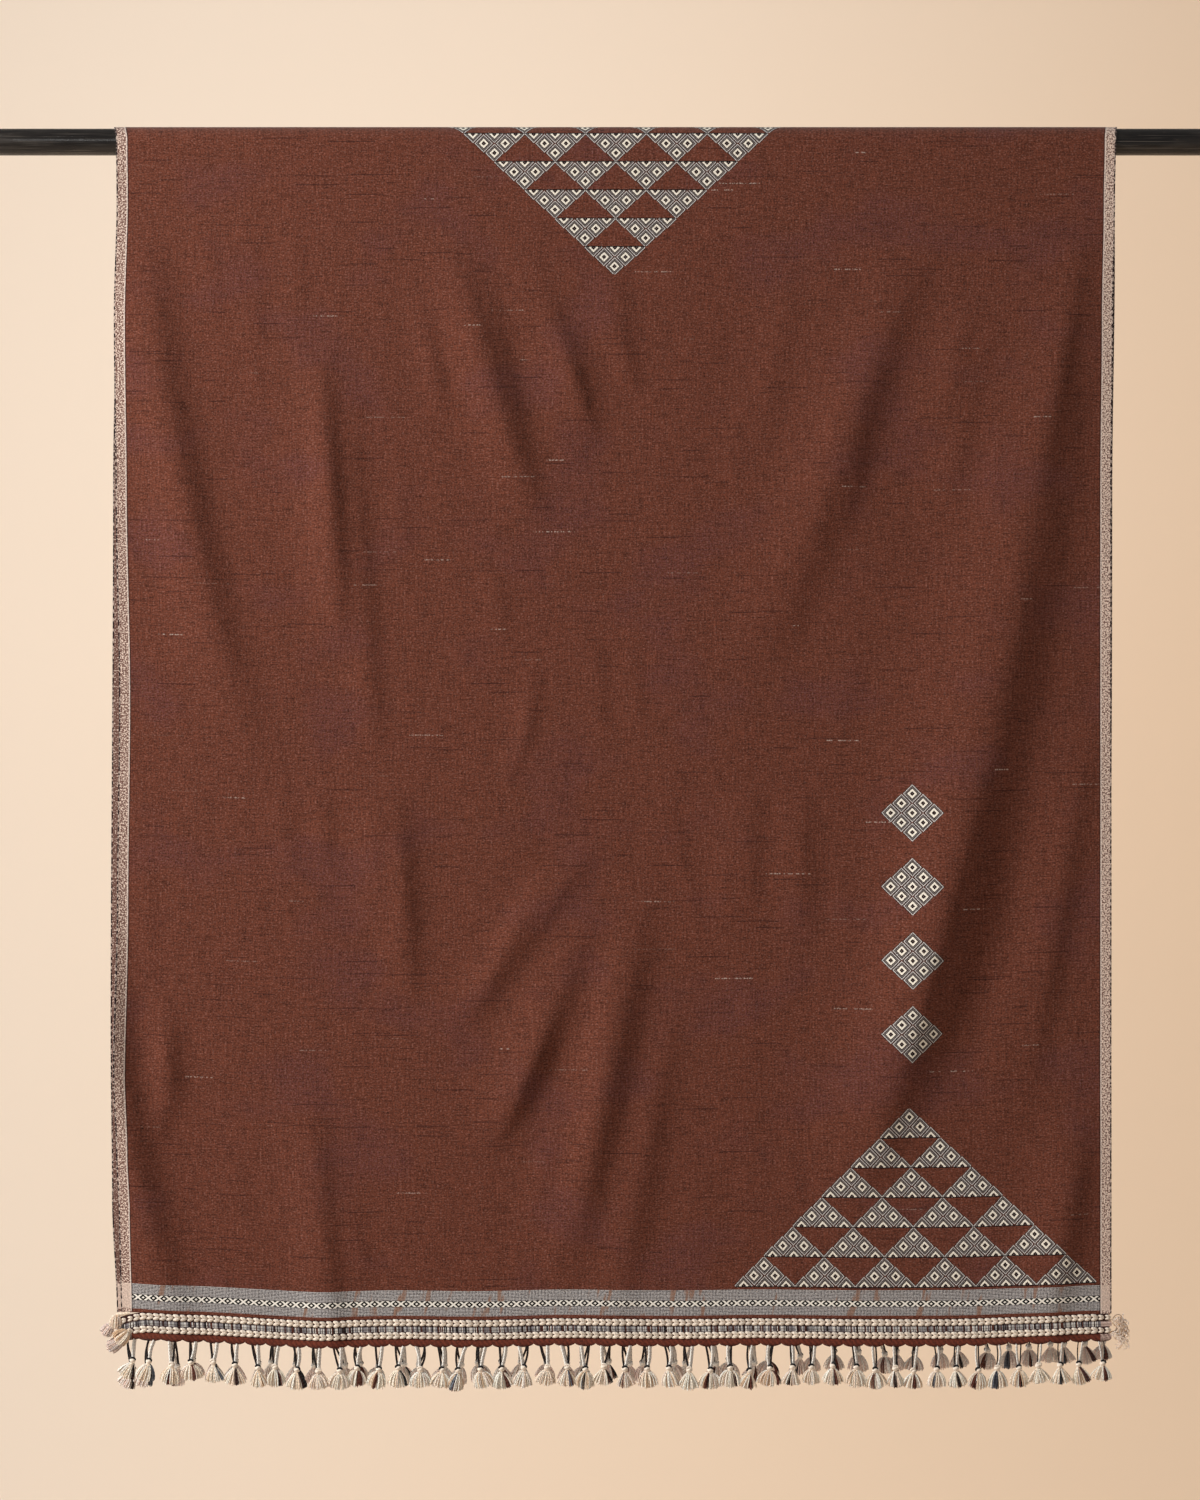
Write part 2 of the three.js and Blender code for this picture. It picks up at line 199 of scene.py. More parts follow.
BACK_CREASES = [
    (-360, -80, -356, -150, -350, -230, 10, 1.2),
    (-180, -90, -172, -190, -160, -300, 12, 1.8),
    (40, -120, 52, -220, 66, -330, 12, 1.6),
    (230, -420, 214, -520, 190, -640, 14, 2.0),
    (-200, -640, -206, -760, -214, -860, 14, 2.2),
    (20, -760, 10, -860, 4, -960, 12, 1.6),
    (300, -820, 290, -930, 284, -1030, 14, 1.8),
    (-450, -540, -446, -660, -440, -780, 12, 2.0),
]
BACK = SimpleNamespace(
    name="back",
    side=1,
    hem=(-1183, -1165, 5, 1.2, 2),
    dips=[(0.0, 0.4, -8), (0.26, 0.09, 2.5), (0.7, 0.1, -2)],
    edges=BACK_EDGES,
    folds=BACK_FOLDS,
    creases=BACK_CREASES,
)
FALLS = (FRONT, BACK)

# The side edges over the rod in millimetres, by the angle from the crest in degrees: angle, left, right
OVER_ROD_EDGES = [(-90, -498.5, 500.5), (0, -502, 503), (90, -500, 503)]

# Front and back pieces of the cloth: columns across, rows down, and rows over the rod
FRONT_GRID = (186, 232)
BACK_GRID = (156, 192)
OVER_ROD_ROWS = 18

# Yarn colours out of 255
CREAM = (255, 240, 223)
WHITE = (244, 240, 234)
PALE_GREY = (196, 193, 190)
NAVY = (38, 38, 48)
BLACK = (22, 18, 20)
SLATE = (112, 118, 130)
BROWN = (104, 54, 40)
DARK_BROWN = (60, 30, 25)
RIB_LIGHTS = [WHITE, PALE_GREY, (160, 156, 160), (128, 122, 126)]
RIB_DARKS = [BLACK, DARK_BROWN, BROWN]
RIB_END = (226, 198, 186)
STEM_DARKS = [BLACK, (64, 46, 42)]
STEM_LIGHTS = [(255, 250, 242), (228, 220, 212)]
LOCK_THREADS = [BROWN, BLACK, BROWN, SLATE, DARK_BROWN, NAVY]

# The cut threads of the tassels, the commonest first, and how often each comes
FRONT_THREADS = [
    (255, 252, 242),
    (255, 244, 226),
    (255, 234, 210),
    (250, 228, 210),
    (240, 226, 216),
    (224, 190, 156),
]
BACK_THREADS = [
    (255, 250, 242),
    (255, 242, 232),
    (255, 232, 222),
    (250, 226, 216),
    (238, 214, 202),
    (222, 210, 204),
]
THREAD_SHARES = (0.3, 0.26, 0.17, 0.11, 0.09, 0.07)


def linear(colour):
    """A shader colour from red, green and blue out of 255."""
    shares = [c / 255 for c in colour]
    return tuple(c / 12.92 if c <= 0.04045 else ((c + 0.055) / 1.055) ** 2.4 for c in shares) + (1.0,)


# Shape of the hung cloth


def joined(*coordinates):
    """Points from their coordinates, each spread to the same shape."""
    return np.stack(np.broadcast_arrays(*coordinates), -1)


def along(rows, column, place):
    """A table's column at places between its rows, whose first column is the place."""
    ordered = np.array(sorted(rows), float)
    places, values = ordered[:, 0], ordered[:, column]
    place = np.clip(place, places[0], places[-1])
    after = np.clip(np.searchsorted(places, place), 1, len(places) - 1)
    share = (place - places[after - 1]) / (places[after] - places[after - 1])
    share = share * share * (3 - 2 * share)
    return values[after - 1] + (values[after] - values[after - 1]) * share


def crest_x(fold, z):
    """The crest's x at a height, on the parabola through its three points."""
    x0, z0, x1, z1, x2, z2 = fold[:6]
    return (
        x0 * (z - z1) * (z - z2) / ((z0 - z1) * (z0 - z2))
        + x1 * (z - z0) * (z - z2) / ((z1 - z0) * (z1 - z2))
        + x2 * (z - z0) * (z - z1) / ((z2 - z0) * (z2 - z1))
    )


def fold_height(fold, x, z):
    """A fold's height at a place: a ridge that fades to nothing at its top and foot."""
    top, foot, width, height = fold[1], fold[5], fold[6], fold[7]
    share = np.clip((z - top) / (foot - top), 0, 1)
    across = x - crest_x(fold, z)
    spread = np.where(across < 0, RIDGE_LEFT_SPREAD, RIDGE_RIGHT_SPREAD)
    return height * np.exp(-((across / (width * spread)) ** 2)) * np.sin(math.pi * share)


def soft_noise(x, y, seed):
    """Smooth noise from -1 to 1, with about one bump to a unit."""
    size = 97
    grid = np.random.default_rng(seed).uniform(-1, 1, (size, size))
    column, row = np.floor(x).astype(int), np.floor(y).astype(int)
    across, down = x - column, y - row
    across, down = across * across * (3 - 2 * across), down * down * (3 - 2 * down)

    def corner(c, r):
        return grid[(row + r) % size, (column + c) % size]

    upper = corner(0, 0) * (1 - across) + corner(1, 0) * across
    lower = corner(0, 1) * (1 - across) + corner(1, 1) * across
    return upper * (1 - down) + lower * down


def lift(fall, x, z):
    """How far the folds hold the cloth out from the fall's plane, for x and z in metres."""
    x, z = x / MM, z / MM
    height = sum(fold_height(fold, x, z) for fold in fall.folds + fall.creases)
    seed = fall.side + 5
    free = np.clip(-z / 120, 0, 1)
    slack = 0.7 * soft_noise(x / 60, z / 190, seed) + 0.3 * soft_noise(x / 19, z / 70, seed + 1)
    return (height + free * slack) * MM


def x_at(fall, u, z):
    left = along(fall.edges, 1, z / MM)
    right = along(fall.edges, 2, z / MM)
    return (left + (right - left) * u) * MM


def hem_z(fall, u):
    left, right, sag, wave, waves = fall.hem
    level = left + (right - left) * u
    dips = sum(depth * np.exp(-(((u - place) / width) ** 2)) for place, width, depth in fall.dips)
    return (level - 4 * sag * u * (1 - u) - wave * np.sin(2 * math.pi * waves * u) - dips) * MM


def fall_points(fall, u, share):
    """Points in the cloth's middle, at shares of the width and of the drop from the rod to the hem."""
    z = share * hem_z(fall, u)
    x = x_at(fall, u, z)
    return joined(x, fall.side * (CLOTH_MIDDLE + lift(fall, x, z)), z)


def over_rod_points(u, angle):
    """Points in the cloth's middle over the rod, by the angle from the crest in degrees."""
    left = along(OVER_ROD_EDGES, 1, angle)
    right = along(OVER_ROD_EDGES, 2, angle)
    turn = np.radians(angle)
    x = (left + (right - left) * u) * MM
    return joined(x, CLOTH_MIDDLE * np.sin(turn), CLOTH_MIDDLE * np.cos(turn))


def under_hem(fall, u, drop):
    """Points of the line that hangs a given drop below the hem."""
    points = fall_points(fall, np.asarray(u, float), 1.0)
    points[..., 2] -= drop
    return points


# Meshes


def new_object(name, data):
    thing = bpy.data.objects.new(name, data)
    bpy.context.scene.collection.objects.link(thing)
    return thing


def smooth_mesh(name, vertices, faces, material):
    mesh = bpy.data.meshes.new(name)
    mesh.from_pydata(vertices, [], faces)
    mesh.materials.append(material)
    mesh.polygons.foreach_set("use_smooth", np.ones(len(mesh.polygons), bool))
    return mesh


def add_piece(name, vertices, faces, material, replaced=(), uvs=None, colours=None):
    """A mesh object that rides on the part, with flat coordinates and its vertices' colours if given."""
    mesh = smooth_mesh(name, vertices, faces, material)
    if uvs is not None:
        mesh.uv_layers.new(name="flat").data.foreach_set("uv", np.asarray(uvs, np.float32).ravel())
    if colours is not None:
        layer = mesh.color_attributes.new("yarn", "FLOAT_COLOR", "POINT")
        layer.data.foreach_set("color", np.asarray(colours, np.float32).ravel())
    mesh.set_sharp_from_angle(angle=math.radians(62))
    mesh.update()
    piece = new_object(name, mesh)
    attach(piece, "root")
    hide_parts(*replaced)
    return piece


def shell(points, thickness):
    """A closed thin sheet round a grid of points: its vertices, its faces and each corner's grid place."""
    rows, columns = points.shape[:2]
    normal = np.cross(np.gradient(points, axis=0), np.gradient(points, axis=1))
    normal /= np.linalg.norm(normal, axis=-1, keepdims=True)
    vertices = np.concatenate([points + normal * thickness / 2, points - normal * thickness / 2])
    number = np.arange(rows * columns).reshape(rows, columns)
    quads = np.stack([number[:-1, :-1], number[1:, :-1], number[1:, 1:], number[:-1, 1:]], -1).reshape(-1, 4)
    below = quads[:, ::-1] + number.size
    loop = np.concatenate([number[:, 0], number[-1, 1:], number[-2::-1, -1], number[0, -2:0:-1]])
    following = np.roll(loop, -1)
    rim = np.stack([following, loop, loop + number.size, following + number.size], -1)
    faces = np.concatenate([quads, below, rim])
    return vertices.reshape(-1, 3), faces, faces % number.size


class Heap:
    """Many small closed tubes gathered into one mesh."""

    def __init__(self):
        self.vertices, self.faces, self.uvs, self.colours = [], [], [], []
        self.count = 0

    def tube(self, path, radii, sides, colour, flat=1.0, reference=(0, 1, 0)):
        """A tube along a path. flat squeezes its depth, and reference is a way that it never runs."""
        path = np.asarray(path, float)
        radii = np.broadcast_to(np.asarray(radii, float), len(path))
        tangent = np.gradient(path, axis=0)
        tangent /= np.linalg.norm(tangent, axis=1, keepdims=True)
        across = np.cross(tangent, reference)
        across /= np.linalg.norm(across, axis=1, keepdims=True)
        out = np.cross(across, tangent)
        turn = 2 * math.pi * np.arange(sides) / sides
        ring = np.cos(turn)[:, None] * across[:, None] + flat * np.sin(turn)[:, None] * out[:, None]
        points = path[:, None] + radii[:, None, None] * ring
        number = self.count + np.arange(len(path) * sides).reshape(len(path), sides)
        after = np.roll(number, -1, axis=1)
        quads = np.stack([number[:-1], number[1:], after[1:], after[:-1]], -1).reshape(-1, 4)
        steps = np.linalg.norm(np.diff(path, axis=0), axis=1)
        length = np.concatenate([[0], np.cumsum(steps)]) / MM
        i, j = np.meshgrid(np.arange(len(path) - 1), np.arange(sides), indexing="ij")
        corners = [(i, j), (i + 1, j), (i + 1, j + 1), (i, j + 1)]
        uvs = np.stack([joined(c / sides, length[r]) for r, c in corners], -2)
        self.vertices.append(points.reshape(-1, 3))
        self.faces += quads.tolist() + [number[0].tolist(), number[-1, ::-1].tolist()]
        self.uvs += [uvs.reshape(-1, 2), np.zeros((2 * sides, 2))]
        self.colours.append(np.tile(linear(colour), (points.shape[0] * sides, 1)))
        self.count += points.shape[0] * sides

    def piece(self, name, material, slot, replaced=()):
        vertices = np.concatenate(self.vertices).tolist()
        uvs, colours = np.concatenate(self.uvs), np.concatenate(self.colours)
        return add_piece(name, vertices, self.faces, material, replaced, uvs, colours)


# Materials


class Value:
    """A number in a node tree. Arithmetic on it adds Math nodes."""

    def __init__(self, tree, socket):
        self.tree, self.socket = tree, socket

    def math(self, operation, *others):
        node = self.tree.nodes.new("ShaderNodeMath")
        node.operation = operation
        for place, term in enumerate((self, *others)):
            if isinstance(term, Value):
                self.tree.links.new(term.socket, node.inputs[place])
            else:
                node.inputs[place].default_value = term
        return Value(self.tree, node.outputs[0])

    def __add__(self, other):
        return self.math("ADD", other)

    def __sub__(self, other):
        return self.math("SUBTRACT", other)

    def __mul__(self, other):
        return self.math("MULTIPLY", other)

    def __truediv__(self, other):
        return self.math("DIVIDE", other)

    def __abs__(self):
        return self.math("ABSOLUTE")

    def fract(self):
        return self.math("FRACT")

    def floor(self):
        return self.math("FLOOR")

    def sin(self):
        return self.math("SINE")

    def above(self, limit):
        return self.math("GREATER_THAN", limit)

    def below(self, limit):
        return self.math("LESS_THAN", limit)

    def least(self, other):
        return self.math("MINIMUM", other)

    def most(self, other):
        return self.math("MAXIMUM", other)

    def within(self, low, high):
        return self.above(low) * self.below(high)

    def choose(self, first, second):
        """first where this is 1, second where it is 0."""
        return (first - second) * self + second

    def ramp(self, low, high):
        """0 up to low, 1 from high on, and smooth between them."""
        node = self.tree.nodes.new("ShaderNodeMapRange")
        node.interpolation_type = "SMOOTHSTEP"
        self.tree.links.new(self.socket, node.inputs["Value"])
        node.inputs["From Min"].default_value = low
        node.inputs["From Max"].default_value = high
        return Value(self.tree, node.outputs["Result"])


class Recipe:
    """A material under construction, with short calls for its nodes."""

    def __init__(self, name, roughness, specular, sheen=0.0):
        self.material = bpy.data.materials.new(name)
        self.material.use_nodes = True
        self.tree = self.material.node_tree
        self.shader = next(n for n in self.tree.nodes if n.type == "BSDF_PRINCIPLED")
        self.shader.inputs["Roughness"].default_value = roughness
        self.shader.inputs["Sheen Weight"].default_value = sheen
        self.shader.inputs["Sheen Roughness"].default_value = 0.5
        self.shader.inputs["Specular IOR Level"].default_value = specular

    def node(self, kind):
        return self.tree.nodes.new("ShaderNode" + kind)

    def link(self, output, socket):
        self.tree.links.new(output, socket)

    def _split(self, socket):
        node = self.node("SeparateXYZ")
        self.link(socket, node.inputs[0])
        return [Value(self.tree, out) for out in node.outputs]

    def flat(self):
        """The piece's flat coordinates."""
        node = self.node("UVMap")
        node.uv_map = "flat"
        return self._split(node.outputs[0])[:2]

    def place(self):
        """The piece's coordinates in space."""
        return self._split(self.node("TexCoord").outputs["Object"])

    def yarn(self):
        node = self.node("VertexColor")
        node.layer_name = "yarn"
        return node.outputs["Color"]

    def _join(self, place):
        node = self.node("CombineXYZ")
        for value, socket in zip(place, node.inputs):
            self.link(value.socket, socket)
        return node.outputs[0]

    def noise(self, *place, detail=1, roughness=0.5):
        """Noise from 0 to 1 at a place given by two or three values, with about one bump to a unit."""
        node = self.node("TexNoise")
        node.noise_dimensions = f"{len(place)}D"
        node.inputs["Scale"].default_value = 1
        node.inputs["Detail"].default_value = detail
        node.inputs["Roughness"].default_value = roughness
        self.link(self._join(place), node.inputs["Vector"])
        return Value(self.tree, node.outputs[0])

    def scatter(self, *place):
        """Three random numbers from 0 to 1 for each whole-numbered place, given by two values."""
        node = self.node("TexWhiteNoise")
        node.noise_dimensions = "2D"
        self.link(self._join(place), node.inputs["Vector"])
        return self._split(node.outputs["Color"])

    def mix(self, share, first, second):
        """Two colours mixed: second where share is 1. Each is a socket or a colour out of 255."""
        node = self.node("Mix")
        node.data_type = "RGBA"
        factor, a, b = node.inputs[0], node.inputs[6], node.inputs[7]
        self.link(share.socket, factor)
        for socket, colour in ((a, first), (b, second)):
            if isinstance(colour, bpy.types.NodeSocket):
                self.link(colour, socket)
            else:
                socket.default_value = linear(colour)
        return node.outputs[2]

    def shade(self, colour, amount):
        """A colour made lighter or darker by a factor."""
        node = self.node("VectorMath")
        node.operation = "SCALE"
        self.link(colour, node.inputs[0])
        self.link(amount.socket, node.inputs["Scale"])
        return node.outputs[0]

    def done(self, colour, height=None, distance=0.0, roughness=None):
        """The material, with its bumps from height: distance is how high a bump of 1 stands."""
        self.link(colour, self.shader.inputs["Base Color"])
        if roughness is not None:
            self.link(roughness.socket, self.shader.inputs["Roughness"])
        if height is not None:
            bump = self.node("Bump")
            bump.inputs["Distance"].default_value = distance
            self.link(height.socket, bump.inputs["Height"])
            self.link(bump.outputs[0], self.shader.inputs["Normal"])
        return self.material


# The woven motifs, in millimetres of flat cloth. The middle one is a triangle that points down from the
# crest. The corner one stands on the border, its rows shifted a little to one side, and four lozenges stand
# in a column above it. All are built of the same nested diamonds. The hidden back repeats them: the middle
# one mirrored over the rod, the others turned round. A triangle's two sizes are its rows' pitch across and
# down.
MIDDLE_APEX_V = 156.7
MIDDLE_MIRROR_V = -13.1
MIDDLE_TRIANGLE = (60.8, 28.3)
CORNER_APEX = (296, 988)
CORNER_LEAN = 0.035
CORNER_TRIANGLE = (60.8, 29.9)
TRIANGLE_ROWS = 6
LOZENGE_U = 299
LOZENGES_V = (693.6, 913.5)
LOZENGE_PITCH = 73.3
LOZENGE_DIAMONDS = 3

# A row of triangles in half diamonds: its depth, its shift down, and where its straight dark rim begins
ROW_DEPTH = 3
ROW_SHIFT = 0.16
ROW_RIM = 3.06

# A nested diamond: half its pitch across and down, and half its size across and down
DIAMOND_STEP = (10.7, 9.6)
DIAMOND_SIZE = (9.3, 9.5)

# Its rings, from its middle to its edge: reach as a share of its half size, then colour
DIAMOND_RINGS = [
    (0.08, (110, 92, 88)),
    (0.26, (24, 12, 14)),
    (0.53, (255, 247, 232)),
    (0.65, (22, 12, 14)),
    (0.75, (132, 122, 119)),
    (0.85, (20, 12, 14)),
    (0.98, (206, 200, 197)),
    (2.00, (6, 2, 4)),
]
DIAMOND_REACH = 1.07

# Outside this reach, the white ring's, a fine check shows in the motifs
CHECK_FROM = 0.53


def triangle_lattice(u, h, across, down):
    """The rows of small triangles that widen from an apex, h away from it and u to its side.

    Gives each place's two numbers in the lattice of diamonds, where the rows lie, and their straight rims.
    """
    row = h / down
    level = row.floor()
    column = u / across + level * 0.5 + 0.5
    s = (column.fract() - 0.5) * (across / DIAMOND_STEP[0])
    r = row.fract() * ROW_DEPTH + ROW_SHIFT
    within = column.above(0) * (column - level).below(1) * row.within(0, TRIANGLE_ROWS)
    return (r + s) * 0.5, (r - s) * 0.5, within, r.above(ROW_RIM)


def lozenge_lattice(u, v):
    """The column of lozenges: the same two numbers, and where the lozenges lie."""
    first, last = LOZENGES_V
    step = (v - first + LOZENGE_PITCH / 2) / LOZENGE_PITCH
    r = (step.fract() - 0.5) * (LOZENGE_PITCH / DIAMOND_STEP[1])
    s = (u - LOZENGE_U) / DIAMOND_STEP[0]
    within = v.within(first - LOZENGE_PITCH / 2, last + LOZENGE_PITCH / 2)
    a, b = (r + s) * 0.5, (r - s) * 0.5
    return a + 0.5, b + 0.5, within * abs(a).most(abs(b)).below(LOZENGE_DIAMONDS / 2)


def woven_motifs(u, v, jitter):
    """How far from its diamond's middle a flat place lies, 1 at the rim, and where the extra weft is."""
    front = v.above(0) * 2 - 1
    corner_u, corner_v = u * front, abs(v)
    middle_h = (abs(v - MIDDLE_MIRROR_V) - (MIDDLE_APEX_V - MIDDLE_MIRROR_V)) * -1
    ma, mb, in_middle, middle_rim = triangle_lattice(u, middle_h, *MIDDLE_TRIANGLE)
    corner_h = corner_v - CORNER_APEX[1]
    from_apex = corner_u - CORNER_APEX[0] - corner_h * CORNER_LEAN
    ca, cb, in_corner, corner_rim = triangle_lattice(from_apex, corner_h, *CORNER_TRIANGLE)
    da, db, in_lozenge = lozenge_lattice(corner_u, corner_v)
    a = in_middle.choose(ma, in_corner.choose(ca, da))
    b = in_middle.choose(mb, in_corner.choose(cb, db))
    la, lb = a.fract() - 0.5, b.fract() - 0.5
    across = abs(la - lb) * (DIAMOND_STEP[0] / DIAMOND_SIZE[0])
    nest = across + abs(la + lb) * (DIAMOND_STEP[1] / DIAMOND_SIZE[1])
    nest = nest.most(in_middle * middle_rim + in_corner * corner_rim)
    woven = in_middle.most(in_corner) * a.least(b).above(0) + in_lozenge
    return nest + jitter, woven.above(0.5) * nest.below(DIAMOND_REACH)


# Border rows woven across each end, as heights above the hem in millimetres
LOWER_GREY = (3.3, 12.0)
ZIGZAG = (12.0, 18.0)
UPPER_GREY = (18.0, 28.6)
ZIGZAG_PITCH = 10.6
CHECK_PITCH = 2.9

# The pale stripe along each side and the fine lines in it and beside it, in millimetres
SELVEDGE_WIDTH = 11.2
EDGE_TURNS_WIDTH = 1.4
PALE_LINE_WIDTH = 1.3
DARK_LINE_WIDTH = 1.1


def grey_twill(recipe, u, v, grain, check):
    """The grey bands: a fine check of black and white with brown warp showing through in streaks."""
    share = (check * 0.6 + grain).ramp(0.25, 0.75)
    colour = recipe.mix(share, (56, 52, 54), (210, 205, 204))
    streak = recipe.noise(u * 0.1 + v * 0.02, v * 0.02, detail=2).ramp(0.60, 0.70)
    return recipe.mix(streak * (grain + 0.1), colour, (150, 100, 66))


def zigzag_row(recipe, u, h):
    """Cream crosses with small diamonds between them, on black."""
    middle = (ZIGZAG[0] + ZIGZAG[1]) / 2
    slope, line, cross_reach, diamond_reach = 1.25, 1.35, 2.8, 1.2
    across = abs(((u / ZIGZAG_PITCH).fract() - 0.5) * ZIGZAG_PITCH)
    up = abs(h - middle)
    cross = abs(across - up * slope).below(line) * up.below(cross_reach)
    diamond = (abs(across - ZIGZAG_PITCH / 2) * 0.75 + up).below(diamond_reach)
    return recipe.mix(cross.most(diamond), (8, 4, 5), (255, 250, 240))


def selvedge(recipe, edge, v, h, grain, left):
    """The pale stripe along each side, with turns of dark and pale yarn on its very edge.

    It is speckled, less so beside the border rows, and more on the back and where left is 1.
    """
    beside_rows = h.within(LOWER_GREY[0], UPPER_GREY[1])
    more = v.below(0) * 0.1 + left * 0.07
    speckle = beside_rows.choose(grain.ramp(0.2, 0.7) * 0.4, (grain + more).ramp(0.4, 0.64))
    ground = recipe.mix(speckle, (246, 222, 206), (120, 86, 76))
    pale_line = edge.within(SELVEDGE_WIDTH - PALE_LINE_WIDTH, SELVEDGE_WIDTH)
    ground = recipe.mix(pale_line * 0.6, ground, (240, 224, 214))
    turn = recipe.noise(edge * 0.3, v * 0.3).ramp(0.46, 0.62)
    turns = recipe.mix(turn, (44, 30, 34), (200, 180, 168))
    return recipe.mix(edge.below(EDGE_TURNS_WIDTH), ground, turns)


def slubs(recipe, u, v, grain):
    """Short runs of one weft thread, lighter or darker than the rest: the strengths of both kinds."""
    run, thread = 95, 1.1
    line = ((v + grain) / thread).floor()
    place = u / run + line * 0.37
    chance, start, length = recipe.scatter(place.floor(), line)
    start = start * 0.5
    share = place.fract()
    inside = share.above(start) * (share - start).below(length * 0.4 + 0.1)
    broken = recipe.noise(u * 0.3, line * 1.7).ramp(0.42, 0.56)
    light = chance.ramp(0.991, 1.0) * inside * broken * grain.ramp(0.3, 0.6) * 0.8
    dark = chance.ramp(0.07, 0.0) * inside * 0.55
    return light, dark


def wool_cloth():
    """Brown handwoven wool with its selvedges, border rows and extra-weft motifs."""
    recipe = Recipe("brown_wool", roughness=0.92, specular=0.1, sheen=0.12)
    flat_u, flat_v = recipe.flat()
    u, v = flat_u / MM, flat_v / MM
    h = abs(v) * -1 + HEM_V / MM
    edge = abs(u) * -1 + FLAT_WIDTH / 2 / MM

    grain = recipe.noise(u * 0.62, v * 0.62, roughness=0.8)
    weft = recipe.noise(u * 0.05, v * 0.6, roughness=0.7)
    warp = recipe.noise(u * 0.6, v * 0.04, detail=0)
    cloud = recipe.noise(u * 0.009, v * 0.013, detail=2)
    mottle = recipe.noise(u * 0.13, v * 0.16)
    tone = (grain - 0.5) * 1.5 + (weft - 0.5) * 0.9 + (warp - 0.5) * 0.4 + (mottle - 0.5) * 0.25 + 1.0
    fleck = recipe.noise(u * 0.4 + 40, v * 0.75, detail=0)
    ground = recipe.mix(fleck.ramp(0.55, 0.85) * 0.2, (110, 61, 46), (180, 138, 128))
    ground = recipe.mix(fleck.ramp(0.45, 0.15) * 0.3, ground, (60, 26, 20))
    ground = recipe.shade(ground, tone)
    # Painted shade: the purplish colour of the cloth in shadow, laid on in random cloudy patches
    painted_shadow_tinge = cloud.ramp(0.5, 0.72) * grain.ramp(0.45, 0.65)
    ground = recipe.mix(painted_shadow_tinge * 0.3, ground, (96, 66, 84))
    ground = recipe.mix(weft.ramp(0.66, 0.78) * 0.3, ground, (58, 28, 26))
    light_slub, dark_slub = slubs(recipe, u, v, grain)
    ground = recipe.mix(light_slub, ground, (206, 186, 174))
    ground = recipe.mix(dark_slub, ground, (46, 22, 22))

    nest, on_motif = woven_motifs(u, v, (grain - 0.5) * 0.08)
    motif = DIAMOND_RINGS[-1][1]
    for reach, paint in reversed(DIAMOND_RINGS[:-1]):
        motif = recipe.mix(nest.below(reach), motif, paint)
    wave = 2 * math.pi / CHECK_PITCH
    check = ((u + v) * wave).sin() * ((u - v) * wave).sin()
    motif_tone = check * nest.above(CHECK_FROM) * 0.4 + grain * 0.3 + 0.87
    colour = recipe.mix(on_motif, ground, recipe.shade(motif, motif_tone))
    in_grey = h.within(*LOWER_GREY).most(h.within(*UPPER_GREY))
    colour = recipe.mix(in_grey, colour, grey_twill(recipe, u, v, grain, check))
    colour = recipe.mix(h.within(*ZIGZAG), colour, zigzag_row(recipe, u, h))
    dark_line = edge.within(SELVEDGE_WIDTH, SELVEDGE_WIDTH + DARK_LINE_WIDTH)
    colour = recipe.mix(dark_line * 0.6, colour, (34, 18, 18))
    stripe = selvedge(recipe, edge, v, h, grain, u.below(0))
    colour = recipe.mix(edge.below(SELVEDGE_WIDTH), colour, stripe)
    return recipe.done(colour, grain + weft * 0.5, distance=0.55 * MM)


def plied_yarn():
    """Yarn in its own colour, with the ridges of its twisted plies and some fuzz. The ridges' crests are
    painted lighter and the grooves between them darker, as painted shade.
    """
    recipe = Recipe("plied_yarn", roughness=0.9, specular=0.2, sheen=0.25)
    plies, pitch, fuzz = 2, 3.2, 0.3
    around, length = recipe.flat()
    x, y, z = recipe.place()
    ridge = ((around * plies + length / pitch) * (2 * math.pi)).sin() * 0.5 + 0.5
    fibre = recipe.noise(x * 900, y * 900, z * 900, detail=2, roughness=0.7)
    # Painted shade: lighter on the ply ridges and darker in the grooves between them; the fuzz varies the
    # tone at random
    tone = ridge * 0.22 + fibre * fuzz + (0.89 - fuzz / 2)
    colour = recipe.shade(recipe.yarn(), tone)
    return recipe.done(colour, ridge + fibre * 0.6, distance=0.25 * MM)


def corded_edge():
    """The brown scalloped edge, a close twisted roll, with the selvedge's pale colour at its ends, and
    painted shade darkening its coil's grooves and its foot.
    """
    recipe = Recipe("corded_edge", roughness=0.95, specular=0.15, sheen=0.2)
    flat_u, flat_height = recipe.flat()
    u, height = flat_u / MM, flat_height / MM
    coil = (u * 1.2 + height).sin() * 0.5 + 0.5
    fibre = recipe.noise(u * 0.42, height * 0.5, detail=3, roughness=0.8)
    ground = recipe.mix(fibre.ramp(0.4, 0.75), (116, 56, 40), (60, 28, 22))
    pale = recipe.mix(fibre.ramp(0.4, 0.65), (196, 170, 158), (110, 84, 80))
    edge = abs(u) * -1 + FLAT_WIDTH / 2 / MM
    # Painted shade: darker in the grooves of the coil and along the bottom of the roll
    above_painted_foot_shade = height.ramp(-7.4, -4.0)
    tone = (coil * 0.35 + fibre * 1.1 + 0.3) * (above_painted_foot_shade * 0.55 + 0.5)
    colour = recipe.shade(recipe.mix(edge.below(SELVEDGE_WIDTH), ground, pale), tone)
    return recipe.done(colour, coil * 0.6 + fibre, distance=0.5 * MM)


